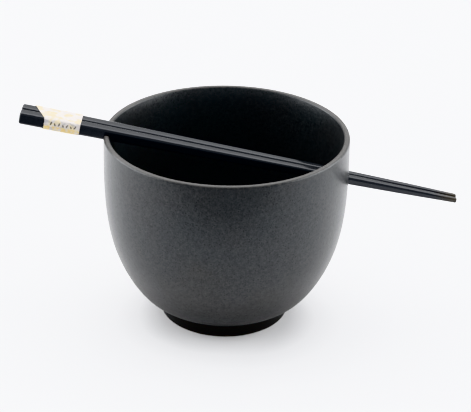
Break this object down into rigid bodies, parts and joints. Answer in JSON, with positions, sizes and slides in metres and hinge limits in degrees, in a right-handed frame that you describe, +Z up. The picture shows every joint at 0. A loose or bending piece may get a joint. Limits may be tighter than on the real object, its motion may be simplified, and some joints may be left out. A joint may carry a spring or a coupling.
{
  "type": "rice bowl with chopsticks",
  "caption": "Deep round stoneware rice bowl on a foot ring, notched at the lip and pierced in the wall so that a pair of tapered chopsticks in a paper band lies across it.",
  "frame": {"origin": "on the bowl's axis, at the plane that the foot ring stands on", "axes": "+Z up along the bowl's axis; +X along the chopsticks seen from above, from their thick ends to their tips; +Y away from the side seen in the picture"},
  "size_m": [0.22, 0.1236, 0.1095],
  "materials": {
    "black_stoneware": "satin black glaze, faintly speckled, darker on the foot ring",
    "black_lacquer": "glossy black lacquer on wood, thinner and browner at the tips",
    "washi_paper": "cream washi paper with long fibres and gold flecks"
  },
  "bodies": {
    "bowl": {"bowl": "black_stoneware"},
    "front_chopstick": {"chopstick_front": "black_lacquer"},
    "rear_chopstick": {"chopstick_rear": "black_lacquer"},
    "band": {"paper_band": "washi_paper"}
  },
  "joints": [
    {"name": "draw_front", "type": "slide", "parent": "bowl", "child": "front_chopstick", "axis": [-0.9834, 0, 0.1816], "range_m": [0, 0.19]},
    {"name": "draw_rear", "type": "slide", "parent": "bowl", "child": "rear_chopstick", "axis": [-0.9834, 0, 0.1816], "range_m": [0, 0.19]},
    {"name": "slide_band_off", "type": "slide", "parent": "rear_chopstick", "child": "band", "axis": [-0.9834, 0, 0.1816], "range_m": [0, 0.04]}
  ]
}
